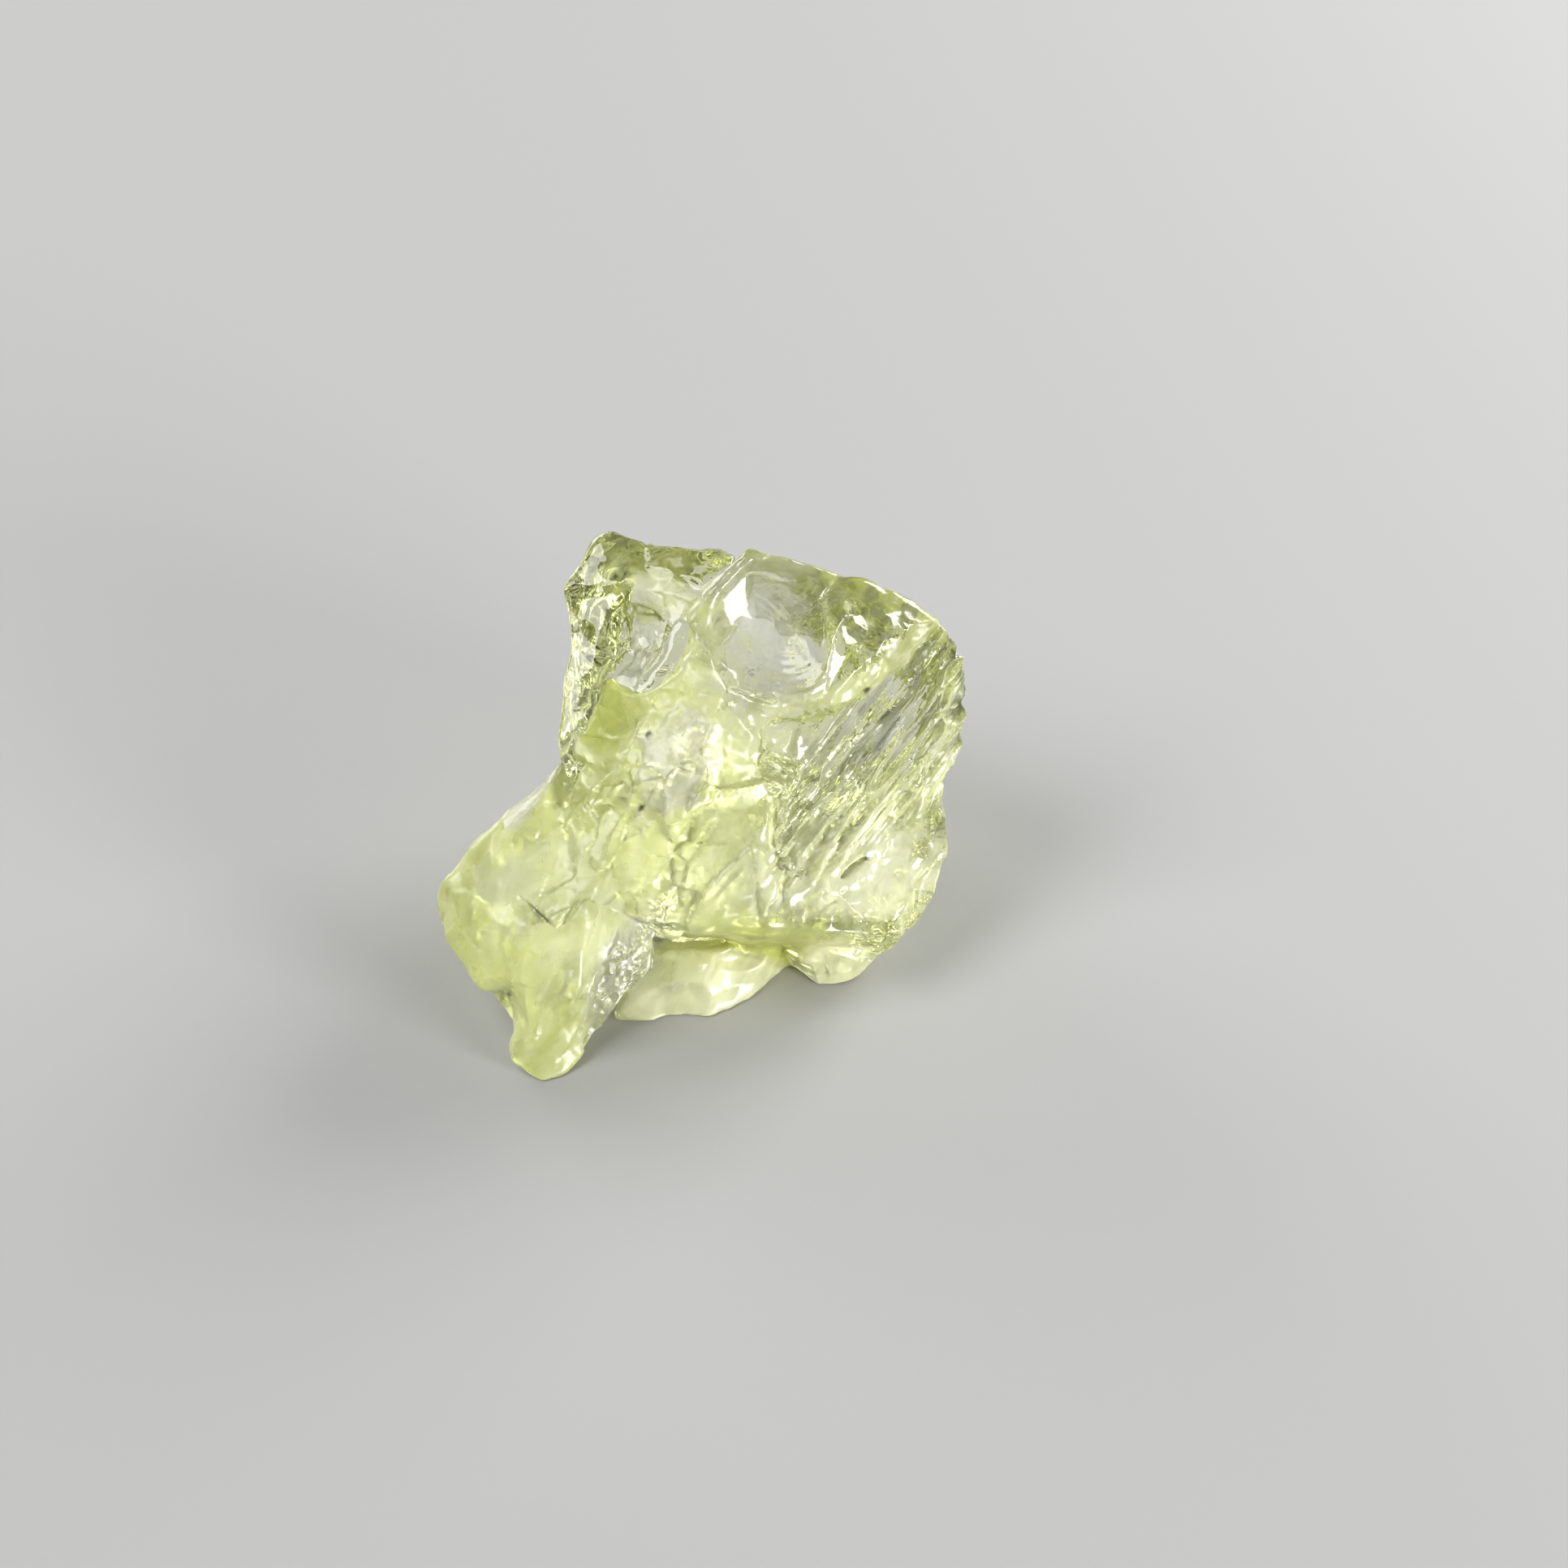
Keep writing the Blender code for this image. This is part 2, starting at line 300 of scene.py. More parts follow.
@dataclass(frozen=True)
class Eye:
    """Where the photograph was taken from, and how it sees the stone.

    The stone's places are given in millimetres to the right, up and towards this eye, from the
    point that it looks at.
    """

    tilt: float = math.radians(40)
    distance: float = 440.0
    middle: tuple[float, float, float] = (6.776, -5.967, 19.3)
    lens: float = 120.0
    sensor: float = 36.0

    def towards(self) -> Vector:
        """The direction from the stone to the eye."""
        return Vector((0, -math.cos(self.tilt), math.sin(self.tilt)))

    def up(self) -> Vector:
        """The direction that the eye sees as up."""
        return Vector((0, math.sin(self.tilt), math.cos(self.tilt)))

    def place(self, right: float, up: float, towards: float) -> Vector:
        """Turns a place that the eye sees into a point of the frame.

        Args:
            right: millimetres to the right.
            up: millimetres up.
            towards: millimetres towards the eye.

        Returns:
            The point, in metres.
        """
        nearer = 1 - towards / self.distance
        flat = Vector((right * nearer, 0, 0)) + self.up() * (up * nearer)
        return (Vector(self.middle) + flat + self.towards() * towards) * MM

    def camera(self) -> None:
        """Makes the scene's camera."""
        data = bpy.data.cameras.new("camera")
        data.lens = self.lens
        data.sensor_width = self.sensor
        made = placed("camera", data)
        made.location = (Vector(self.middle) + self.towards() * self.distance) * MM
        made.rotation_euler = self.towards().to_track_quat("Z", "Y").to_euler()
        bpy.context.scene.camera = made


class Seen:
    """A place on the stone as the eye sees it, as values in a node tree, with the tree's inputs."""

    def __init__(self, graph: Graph, position: Value, eye: Eye, given: dict[str, Value]) -> None:
        """Works the place out from a position.

        Args:
            graph: the tree.
            position: the position, in metres.
            eye: the eye.
            given: the tree's inputs, by name.
        """
        self.graph = graph
        self.given = given
        middle = tuple(Vector(eye.middle) * MM)
        offset = graph.vector_math("SUBTRACT", position, middle)
        towards = graph.vector_math("DOT_PRODUCT", offset, tuple(eye.towards() / MM), "Value")
        nearer = 1 - towards / eye.distance
        self.towards = towards
        self.right = graph.vector_math("DOT_PRODUCT", offset, (1 / MM, 0, 0), "Value") / nearer
        self.up = graph.vector_math("DOT_PRODUCT", offset, tuple(eye.up() / MM), "Value") / nearer
        self.place = graph.vector_math("MULTIPLY", position, (1 / MM, 1 / MM, 1 / MM))
        self.rag = graph.noise(self.place, RAG_SIZE, 4) - 0.5
        self.masks: dict[Any, Value] = {}

    def mask(self, place: "Spot | Crest") -> Value:
        """The mask of a spot, or of the band along a crest. Each is built once.

        Args:
            place: the spot or the crest.

        Returns:
            1 inside it and 0 outside.
        """
        if place not in self.masks:
            is_spot = isinstance(place, Spot)
            self.masks[place] = self.spot(place) if is_spot else self.crest(place).rise(0, place.edge)
        return self.masks[place]

    def highest(self, patches: Iterable["Patch"]) -> Value:
        """The strongest of some patches at each place.

        Args:
            patches: the patches.

        Returns:
            Its share, 0 outside all of them.
        """
        first, *others = (self.mask(patch.place) * patch.share for patch in patches)
        for other in others:
            first = first.higher(other)
        return first

    def total(self, patches: Iterable["Patch"]) -> Value:
        """The sum of the shares of some patches at each place."""
        first, *others = (self.mask(patch.place) * patch.share for patch in patches)
        return sum(others, first)

    def outside(self, patches: Iterable["Patch"]) -> Value:
        """What is left outside some patches.

        Args:
            patches: the patches.

        Returns:
            1 outside all of them, less its share inside each.
        """
        first, *others = (1 - self.mask(patch.place) * patch.share for patch in patches)
        for other in others:
            first = first * other
        return first

    def above_floor(self) -> Value:
        """1 well above the floor, 0 on it."""
        return self.graph.vector_math("DOT_PRODUCT", self.place, (0, 0, 1), "Value").rise(*OFF_FLOOR)

    def spot(self, spot: "Spot") -> Value:
        """The mask of a spot.

        Args:
            spot: the spot.

        Returns:
            1 inside it and 0 outside.
        """
        along, beside = self.turned(spot.turn, spot.right, spot.up)
        away = ((along / spot.half_length) ** 2 + (beside / spot.half_width) ** 2).root()
        mask = (away + self.rag * spot.rag).rise(1 + spot.soft, 1 - spot.soft)
        return mask * self.towards.rise(spot.behind - FADE, spot.behind)

    def crest(self, crest: "Crest") -> Value:
        """The mask of a crest.

        Args:
            crest: the crest.

        Returns:
            1 on its line, falling evenly to 0 beside it.
        """
        nearest = None
        for first, last in zip(crest.points, crest.points[1:]):
            turn = math.degrees(math.atan2(last[1] - first[1], last[0] - first[0]))
            along, beside = self.turned(turn, *first)
            past = along - along.higher(0).lower(math.dist(first, last))
            beside = beside + self.rag * crest.rag
            away = (past * past + beside * beside).root()
            nearest = away if nearest is None else nearest.lower(away)
        in_front = self.towards.rise(crest.behind - FADE, crest.behind)
        return (1 - nearest / crest.half_width).higher(0) * in_front

    def near(self, cleft: "Cleft", eye: Eye) -> Value:
        """The mask of a cleft's walls.

        Args:
            cleft: the cleft.
            eye: the eye.

        Returns:
            1 on its walls and close to them, 0 further off.
        """
        offset = self.graph.vector_math("SUBTRACT", self.place, tuple(cleft.middle(eye)))
        squares = 0.0
        halves = (cleft.half_length, cleft.half_width, cleft.half_gap + cleft.bow)
        for axis, half in zip(cleft.axes(eye), halves):
            part = self.graph.vector_math("DOT_PRODUCT", offset, tuple(axis), "Value") / half
            squares = part * part + squares
        return squares.rise(cleft.ends, cleft.begins)

    def turned(self, turn: float, right: float = 0.0, up: float = 0.0) -> tuple[Value, Value]:
        """Coordinates along and beside a slanted line.

        Args:
            turn: the line's slant, in degrees.
            right: where the line starts.
            up: where the line starts.

        Returns:
            How far along the line and how far beside it, in millimetres.
        """
        cosine, sine = math.cos(math.radians(turn)), math.sin(math.radians(turn))
        across, rise = self.right - right, self.up - up
        return across * cosine + rise * sine, rise * cosine - across * sine


@dataclass(frozen=True)
class Spot:
    """A patch of the surface, as an ellipse that the eye sees."""

    right: float
    up: float
    half_length: float
    half_width: float
    turn: float = 0.0
    soft: float = 0.25
    behind: float = -9.0
    rag: float = 0.0


@dataclass(frozen=True)
class Crest:
    """A sharp edge on the surface, as a chain of points that the eye sees."""

    points: tuple[tuple[float, float], ...]
    half_width: float
    height: float = 0.0
    behind: float = -8.0
    rag: float = 0.8
    edge: float = 0.6


@dataclass(frozen=True)
class Patch:
    """A place on the stone and how strongly it shows."""

    place: Spot | Crest
    share: float = 1.0


@dataclass(frozen=True)
class Cleft:
    """A thin open crack that reaches in from the surface, as a flat, slightly bowed ellipsoid."""

    right: float
    up: float
    towards: float
    half_length: float
    half_width: float
    turn: float
    lean: float
    half_gap: float = 0.30
    bow: float = 0.5
    begins: float = 1.4
    ends: float = 2.2
    ragged: float = 0.12

    def middle(self, eye: Eye) -> Vector:
        """Its middle, in millimetres of the frame."""
        return eye.place(self.right, self.up, self.towards) / MM

    def axes(self, eye: Eye) -> tuple[Vector, Vector, Vector]:
        """Its three directions.

        Args:
            eye: the eye.

        Returns:
            The directions of its length, its width and its gap.
        """
        turn, lean = math.radians(self.turn), math.radians(self.lean)
        along = Vector((math.cos(turn), 0, 0)) + eye.up() * math.sin(turn)
        flat = eye.up() * math.cos(turn) - Vector((math.sin(turn), 0, 0))
        across = flat * math.cos(lean) + eye.towards() * math.sin(lean)
        return along, across, along.cross(across)

    def cutter(self, eye: Eye) -> bpy.types.Object:
        """Makes the solid that cuts it.

        Args:
            eye: the eye.

        Returns:
            The cutter.
        """
        shape = bmesh.new()
        bmesh.ops.create_icosphere(shape, subdivisions=4, radius=1)
        along, across, through = self.axes(eye)
        for vert in shape.verts:
            x, y, z = vert.co
            angle = math.atan2(y, x)
            ragged = 1 + self.ragged * (math.sin(5 * angle) + math.sin(11 * angle + 1) * 2 / 3)
            lift = self.half_gap * z + self.bow * (1 - x * x - y * y)
            flat = (along * (self.half_length * x) + across * (self.half_width * y)) * ragged
            vert.co = (self.middle(eye) + flat + through * lift) * MM
        bmesh.ops.recalc_face_normals(shape, faces=shape.faces)
        mesh = bpy.data.meshes.new("cleft")
        shape.to_mesh(mesh)
        shape.free()
        return placed("cleft", mesh)


CONTOUR_TURN, CONTOUR_START = 47.2, (-18.8, 2.1)
WINDOW = Spot(-1.4, 12.6, 4.4, 6.6, 14, soft=0.8, behind=-5, rag=2.2)
RINGS = Spot(0.4, 8.4, 3.6, 3.0, -20, soft=0.3, behind=-5)
CENTRE = Spot(-7.5, -1.5, 10.5, 8.0, -30, soft=0.3, behind=-5)
RIDGED = Spot(8.4, 2.4, 13.2, 5.0, 51, soft=0.2)
FLAKE = Spot(-9.4, 1.4, 4.8, 3.0, 62, soft=0.25, behind=0, rag=2.6)
SCALES = Spot(-10.4, -5.4, 6.6, 4.6, -25, soft=0.15, behind=-4, rag=0.5)
FOOT_SIDE = Spot(-13.2, -15.6, 7.0, 2.1, 63, soft=0.4, behind=-8, rag=0.6)
# A painted highlight at the flake's middle.
SPARK = Spot(-8.7, 3.4, 1.3, 0.5, 62, soft=0.5, behind=-1, rag=0.8)
LOWER_MIDDLE = Spot(3.4, -7.4, 6.6, 4.6, 10, soft=0.6, behind=-12, rag=0.8)
# A fleck of painted light on the block behind.
FLECK = Spot(-10.0, 16.0, 3.3, 1.2, -24, soft=0.4, behind=-24, rag=0.8)
BORDER = Spot(14.4, 6.6, 7.4, 1.5, 80, soft=0.5, behind=-20, rag=0.6)
UPPER_RIGHT = Spot(7.8, 14.4, 7.0, 3.6, -27, soft=0.4, behind=-14)
SLAB = Spot(-7.0, -17.4, 8.6, 3.6, 0, soft=0.15, behind=-14)
SHOULDER = Spot(-15.0, 6.6, 2.6, 5.2, -30, soft=0.5, behind=-6)
BACK_BLOCK = Spot(-15.5, 12.0, 10.0, 4.6, 88, soft=0.3, behind=-24)
TOE = Spot(4.2, -15.4, 3.4, 2.2, 0, soft=0.4, behind=-18)
LOWER_RIGHT = Spot(10.4, -4.6, 9.6, 5.2, 78, soft=0.4, behind=-14, rag=0.8)
OVERHANG = Spot(-1.4, -13.8, 6.2, 2.4, 8, soft=0.5, behind=-14)
BRANCH = Spot(-18.0, -10.9, 1.5, 0.25, 52, soft=0.5, behind=-2, rag=1.0)
CRACK = Spot(-20.7, -10.8, 1.8, 0.14, -41, soft=0.4, behind=-2, rag=1.2)
SPECKS = (
    Spot(7.0, 7.9, 0.38, 0.26, 20, soft=0.3, rag=0.8),
    Spot(7.0, -6.2, 0.30, 0.26, soft=0.3, rag=0.6),
    Spot(-12.0, -2.0, 0.36, 0.26, 40, soft=0.3, rag=0.8),
    Spot(-11.4, 4.1, 0.32, 0.24, 60, soft=0.3, rag=0.8),
    Spot(-23.1, -17.7, 0.22, 0.18, soft=0.3, rag=0.8),
    Spot(-9.8, -10.4, 0.22, 0.32, soft=0.3, rag=0.8),
    Spot(0.0, 1.0, 0.28, 0.24, soft=0.3, rag=0.6),
)
FRONT_RIDGE = Crest(
    ((-2.8, 19.4), (-5.9, 16.1), (-8.9, 12.7), (-12.0, 11.0), (-15.4, 8.2), (-17.3, 4.8), (-18.8, 2.1)),
    half_width=0.9, height=0.35, behind=-4,
)
WINDOW_EDGE = Crest(
    ((-2.1, 5.9), (1.6, 6.0), (6.4, 7.9), (9.1, 10.0), (12.5, 13.4)), half_width=1.1, height=0.5, behind=-6
)
FEATHER = Crest(
    ((-1.1, 6.6), (3.7, 7.2), (7.4, 8.9), (10.5, 11.7), (13.4, 14.8)), half_width=1.3, behind=-8, rag=1.4
)
TOP_EDGE = Crest(
    ((-2.1, 19.4), (5.7, 16.8), (10.8, 14.5), (14.1, 12.4), (15.6, 10.6)), half_width=1.3, behind=-20
)
FILM = Crest(((-22.8, -3.2), (-18.7, 2.4), (-16.9, 6.2)), half_width=1.1, behind=-12, rag=0.6)
RIB = Crest(
    ((-9.6, 11.7), (-7.3, 9.5), (-5.2, 7.0), (-2.9, 4.0), (-0.1, 1.1), (5.4, -1.3)),
    half_width=1.3, height=0.4, behind=-4,
)
LEDGE = Crest(
    ((-11.3, -12.2), (-5.9, -11.9), (-0.4, -12.0), (4.4, -12.3), (9.8, -12.5)), half_width=0.8, height=0.3
)
FOOT_EDGE = Crest(((-17.0, -9.5), (-17.0, -12.5), (-17.3, -16.0), (-17.7, -18.7)), half_width=1.4, height=0.4)
CRESTS = (FRONT_RIDGE, WINDOW_EDGE, RIB, LEDGE, FOOT_EDGE)
MILKY_PATCHES = (Patch(BORDER, 0.45), Patch(OVERHANG, 0.65), Patch(FEATHER, 0.6), Patch(TOP_EDGE, 0.4))
GREEN_PATCHES = (Patch(SHOULDER, 0.85), Patch(OVERHANG), Patch(FEATHER, 0.5), Patch(TOP_EDGE, 0.6))
WHITE_PATCHES = (Patch(FLAKE, 0.75), Patch(FOOT_SIDE, 0.8))
MILK_FREE = (Patch(FOOT_SIDE, 0.35), Patch(WINDOW))
FACET_FREE = (Patch(WINDOW, 0.9), Patch(RIDGED, 0.9))
CHIP_FREE = (Patch(WINDOW, 0.9), Patch(RIDGED, 0.7))
GREY_PATCHES = (Patch(WINDOW), Patch(FILM, 0.45))
# Painted light: on the toe, along the feather, and as a painted highlight on the flake.
PAINTED_LIGHT_PATCHES = (Patch(TOE), Patch(FEATHER, 0.45), Patch(SPARK, 0.9))
CLEFTS = (
    Cleft(-9.9, 16.0, -11.4, 3.6, 2.6, -27, 52),
    Cleft(6.6, 15.2, -2.4, 2.6, 1.5, -50, -62),
    Cleft(9.4, 7.6, -5.0, 4.2, 2.2, 48, 58),
    Cleft(10.6, -6.4, -7.0, 3.8, 2.6, 40, -50),
    Cleft(4.6, -7.2, -4.6, 3.4, 2.2, 20, -56),
    Cleft(-16.6, 11.6, -11.0, 3.0, 2.2, 80, 55),
)


@dataclass(frozen=True)
class QuartzFinish:
    """Clear to milky yellow-green quartz, with veils of painted light and painted shade."""

    ior: float = 1.544
    absorbed: Colour = (0.90, 0.93, 0.35, 1)
    density: float = 32.0
    pale: Colour = (0.995, 1.0, 0.985, 1)
    green: Colour = (0.96, 0.93, 0.28, 1)
    veil: Colour = (0.79, 0.83, 0.29, 1)
    pale_veil: Colour = (0.83, 0.86, 0.43, 1)
    white_veil: Colour = (0.70, 0.67, 0.54, 1)
    green_veil: Colour = (0.62, 0.68, 0.16, 1)
    # The colour of the painted light.
    painted_light_veil: Colour = (0.98, 0.98, 0.64, 1)
    # The colour of the painted shade.
    shade: Colour = (0.26, 0.28, 0.17, 1)
    # The colour of the dark specks and of the crack's line.
    dark_marks: Colour = (0.09, 0.08, 0.05, 1)
    grey_veil: Colour = (0.60, 0.59, 0.63, 1)
    clear_roughness: float = 0.015
    milky_roughness: float = 0.32
    veil_share: float = 0.76
    milk_wisps: float = 0.25
    # How much the painted light covers, in wisps.
    painted_light_share: float = 0.66
    painted_light_wisps: float = 0.32
    grey_share: float = 0.36
    grey_wisps: float = 0.1
    veil_roughness: float = 0.38
    coat: float = 0.5
    coat_roughness: float = 0.25
    wisp: float = 2.0
    wisp_press: float = 0.4
    wisp_edge: Edge = (0.3, 0.7)
    shade_edge: Edge = (0.0, 0.2)
    wisp_way: Way = (0.5, 0.557, 0.663)
    grain: float = 0.6
    grain_depth: float = 0.03
    line_pitch: float = 0.42
    line_wander: float = 0.25
    line_share: float = 0.45
    across_ridges: Way = (0.777, -0.404, -0.482)

    def material(self) -> bpy.types.Material:
        """Builds the material, which reads the regions that the stone's mesh keeps.

        Returns:
            The material.
        """
        made = bpy.data.materials.new("quartz")
        made.use_nodes = True
        made.node_tree.nodes.clear()
        graph = Graph(made.node_tree)
        position = graph.value("ShaderNodeTexCoord", {}, {}, "Object")
        place = graph.vector_math("MULTIPLY", position, (1 / MM, 1 / MM, 1 / MM))
        pressed = graph.stretched(place, self.wisp_way, self.wisp_press)
        wisps = graph.noise(pressed, self.wisp, 4, 0.8).rise(*self.wisp_edge)
        grain = graph.noise(place, self.grain, 1)
        region = {kind: graph.region(kind) for kind in Region}
        normal = self.normal(graph, place, grain, region)
        milk = region[Region.MILK]
        clear = graph.value(
            "ShaderNodeBsdfPrincipled",
            {},
            {
                "Base Color": graph.blend(region[Region.GREEN], self.pale, self.green),
                "Roughness": milk * (self.milky_roughness - self.clear_roughness) + self.clear_roughness,
                "IOR": self.ior,
                "Transmission Weight": 1.0,
                "Coat Weight": milk * self.coat,
                "Coat Roughness": self.coat_roughness,
                "Coat IOR": self.ior,
                "Normal": normal,
            },
        )
        veil = graph.value(
            "ShaderNodeBsdfPrincipled",
            {},
            {
                "Base Color": self.veil_colour(graph, wisps, region),
                "Roughness": self.veil_roughness,
                "IOR": self.ior,
                "Normal": normal,
            },
        )
        share = milk * (wisps * self.milk_wisps + (1 - self.milk_wisps)) * self.veil_share
        share = share.higher(region[Region.GREY] * (wisps * self.grey_wisps + self.grey_share))
        # Painted light: a pale veil where brightness is painted on.
        painted_light = region[Region.PAINTED_LIGHT] * (wisps * self.painted_light_wisps + (1 - self.painted_light_wisps))
        share = share.higher(painted_light * self.painted_light_share)
        # The painted shade and the dark marks also cover the surface with the veil.
        share = share.higher(region[Region.SHADE]).higher(region[Region.DARK_MARKS])
        surface = graph.value("ShaderNodeMixShader", {}, {0: share, 1: clear, 2: veil})
        inside = {"Color": self.absorbed, "Density": self.density}
        volume = graph.value("ShaderNodeVolumeAbsorption", {}, inside)
        graph.node("ShaderNodeOutputMaterial", {}, {"Surface": surface, "Volume": volume})
        return made

    def normal(self, graph: Graph, place: Value, grain: Value, region: dict[Region, Value]) -> Value:
        """The fine grain of the milky parts and the fine lines of the ridged face.

        Args:
            graph: the tree.
            place: where, in millimetres.
            grain: fine noise.
            region: the regions that the mesh keeps.

        Returns:
            The normal.
        """
        beside = graph.vector_math("DOT_PRODUCT", place, self.across_ridges, "Value")
        lines = ((beside + grain * self.line_wander) * (math.tau / self.line_pitch)).wave()
        height = grain * region[Region.MILK] + lines * region[Region.RIDGED] * self.line_share
        inputs = {"Strength": 1.0, "Distance": self.grain_depth * MM, "Height": height}
        return graph.value("ShaderNodeBump", {}, inputs)

    def veil_colour(self, graph: Graph, wisps: Value, region: dict[Region, Value]) -> Value:
        """The colour of what clouds the surface, region over region, with painted light and painted shade
        among them.

        Args:
            graph: the tree.
            wisps: long soft noise.
            region: the regions that the mesh keeps.

        Returns:
            The colour.
        """
        colour = graph.blend(wisps, self.veil, self.pale_veil)
        colour = graph.blend(region[Region.GREEN], colour, self.green_veil)
        colour = graph.blend(region[Region.WHITE], colour, self.white_veil)
        # Painted light, as a pale veil colour.
        colour = graph.blend(region[Region.PAINTED_LIGHT], colour, self.painted_light_veil)
        colour = graph.blend(region[Region.GREY], colour, self.grey_veil)
        # Painted shade: dark streaks in the clear parts and on the foot's side.
        colour = graph.blend(region[Region.SHADE].rise(*self.shade_edge), colour, self.shade)
        return graph.blend(region[Region.DARK_MARKS], colour, self.dark_marks)


@dataclass
class Stone:
    """The stone: its even mesh, its broken surface and its finish. Its sizes are in millimetres."""

    eye: Eye
    finish: QuartzFinish
    merge: float = 0.002
    voxel: float = 0.17
    smoothings: int = 3
    most_triangles: int = 190000
    softening: float = 0.35
    seed: float = 3.0
    big_chip: float = 4.2
    big_depth: float = 0.30
    middle_chip: float = 1.9
    middle_depth: float = 0.16
    small_chip: float = 0.9
    small_depth: float = 0.05
    chip_rim: float = 0.75
    back_edge: Edge = (0.0, -0.5)
    front_edge: Edge = (0.0, -6.0)
    front_patch: float = 4.0
    front_wander: float = 6.0
    front_share: float = 0.6
    front_calm: float = 0.6
    chipped_edge: Edge = (0.42, 0.6)
    border_bend: float = 3.0
    border_reach: float = 0.8
    wave_turn: float = 9.0
    ripple_height: float = 0.012
    ring_height: float = 0.03
    ring_middle: float = 13.0
    facet_size: float = 4.2
    facet_share: float = 0.9
    plain_share: float = 0.35
    slab_flats: float = 0.9
    calm_flats: float = 0.7
    slab_calm: float = 0.65
    calm_calm: float = 0.6
    most_lift: float = 0.6
    least_slant: float = 0.4
    shard: float = 2.2
    shard_way: Way = (0.5, 0.557, 0.663)
    scale_size: float = 2.4
    scale_slant: float = 0.5
    flake_step: float = 0.22
    rough_chip: float = 0.8
    rough_depth: float = 0.2
    crack_depth: float = 0.4
    ridge_spacing: float = 1.45
    ridge_height: float = 0.80
    ridge_way: Way = (0.629, 0.4996, 0.595)
    ridge_lean: float = 0.3
    ridge_bend: float = 6.0
    ridge_reach: float = 2.2
    splinter: float = 1.3
    splinter_press: float = 0.12
    splinter_height: float = 3.2
    slab_edge: Edge = (-3.5, -5.5)
    block_edge: Edge = (-5.0, -8.0)
    patch: float = 4.5
    milk_left: Edge = (6.0, -7.0)
    milk_front: Edge = (-9.0, -4.0)
    milk_behind: Edge = (1.8, 1.0)
    milk_patch: Edge = (0.35, 0.65)
    least_milk: float = 0.62
    milk_wander: float = 12.0
    contour_wander: float = 1.5
    # Painted light: on the lower right, the block's fleck, streaks in the upper right and feathers in the
    # lower middle.
    lower_right_edge: Edge = (0.3, 0.6)
    lower_right_share: float = 0.65
    fleck_edge: Edge = (-5.0, -7.0)
    streak: float = 1.3
    streak_edge: Edge = (0.5, 0.6)
    streak_share: float = 0.6
    feather: float = 1.2
    feather_press: float = 0.2
    feather_edge: Edge = (0.4, 0.62)
    feather_share: float = 0.24
    # Painted shade: dark streaks in the clear parts and a faint darkening of the foot's side.
    shade_line: float = 1.0
    shade_press: float = 0.14
    shade_edge: Edge = (0.54, 0.60)
    shade_above: Edge = (-2.0, 2.0)
    ridged_shade: float = 0.56
    upper_shade: float = 0.4
    block_shade: float = 0.36
    foot_shade: float = 0.07

    def build(self) -> bpy.types.Object:
        """Makes the stone in place of its plain solid.

        Returns:
            The stone.
        """
        stone = self.even()
        self.break_surface(stone)
        thin_out(stone, self.most_triangles)
        drop_crumbs(stone)
        keep_within(stone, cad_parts[NODE])
        stone.data.shade_smooth()
        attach(stone, BODY)
        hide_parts(NODE)
        return stone

    def even(self) -> bpy.types.Object:
        """A copy of the solid with its clefts cut and with small, even faces.

        Returns:
            The copy.
        """
        shape = bmesh.new()
        shape.from_mesh(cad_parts[NODE].data)
        bmesh.ops.remove_doubles(shape, verts=shape.verts, dist=self.merge * MM)
        bmesh.ops.recalc_face_normals(shape, faces=shape.faces)
        mesh = bpy.data.meshes.new("stone")
        shape.to_mesh(mesh)
        shape.free()
        made = placed("stone", mesh)
        cutters = [cleft.cutter(self.eye) for cleft in CLEFTS]
        for cutter in cutters:
            cut = made.modifiers.new("cleft", "BOOLEAN")
            cut.operation = "DIFFERENCE"
            cut.solver = "EXACT"
            cut.object = cutter
        remesh = made.modifiers.new("even", "REMESH")
        remesh.mode = "VOXEL"
        remesh.voxel_size = self.voxel * MM
        smooth = made.modifiers.new("smooth", "CORRECTIVE_SMOOTH")
        smooth.iterations = self.smoothings
        smooth.use_only_smooth = True
        settle(made)
        for cutter in cutters:
            bpy.data.objects.remove(cutter)
        return made

    def break_surface(self, stone: bpy.types.Object) -> None:
        """Chips the surface and cuts its ridges, with a tree of mesh nodes.

        Args:
            stone: the even stone.
        """
        sizes = {
            "Seed": self.seed,
            "Big chip": self.big_chip,
            "Big depth": self.big_depth,
            "Middle chip": self.middle_chip,
            "Middle depth": self.middle_depth,
            "Small chip": self.small_chip,
            "Small depth": self.small_depth,
            "Facet size": self.facet_size,
            "Shard length": self.shard,
            "Facet share": self.facet_share,
            "Scale size": self.scale_size,
            "Scale slant": self.scale_slant,
            "Ridge spacing": self.ridge_spacing,
            "Ridge height": self.ridge_height,
        }
        tree = bpy.data.node_groups.new("broken surface", "GeometryNodeTree")
        tree.is_modifier = True
        tree.interface.new_socket("Stone", in_out="INPUT", socket_type="NodeSocketGeometry")
        named = {
            name: tree.interface.new_socket(name, in_out="INPUT", socket_type="NodeSocketFloat")
            for name in sizes
        }
        finish = tree.interface.new_socket("Finish", in_out="INPUT", socket_type="NodeSocketMaterial")
        tree.interface.new_socket("Stone", in_out="OUTPUT", socket_type="NodeSocketGeometry")
        graph = Graph(tree)
        inputs = graph.node("NodeGroupInput", {}, {}).outputs
        given = {name: Value(graph, inputs[name]) for name in sizes}
        position = graph.value("GeometryNodeInputPosition", {}, {})
        normal = graph.value("GeometryNodeInputNormal", {}, {})
        seen = Seen(graph, position, self.eye, given)
        back = graph.vector_math("DOT_PRODUCT", normal, tuple(self.eye.towards()), "Value")
        back = back.rise(*self.back_edge)
        warp = graph.sway(seen.place, self.border_bend, self.border_reach)
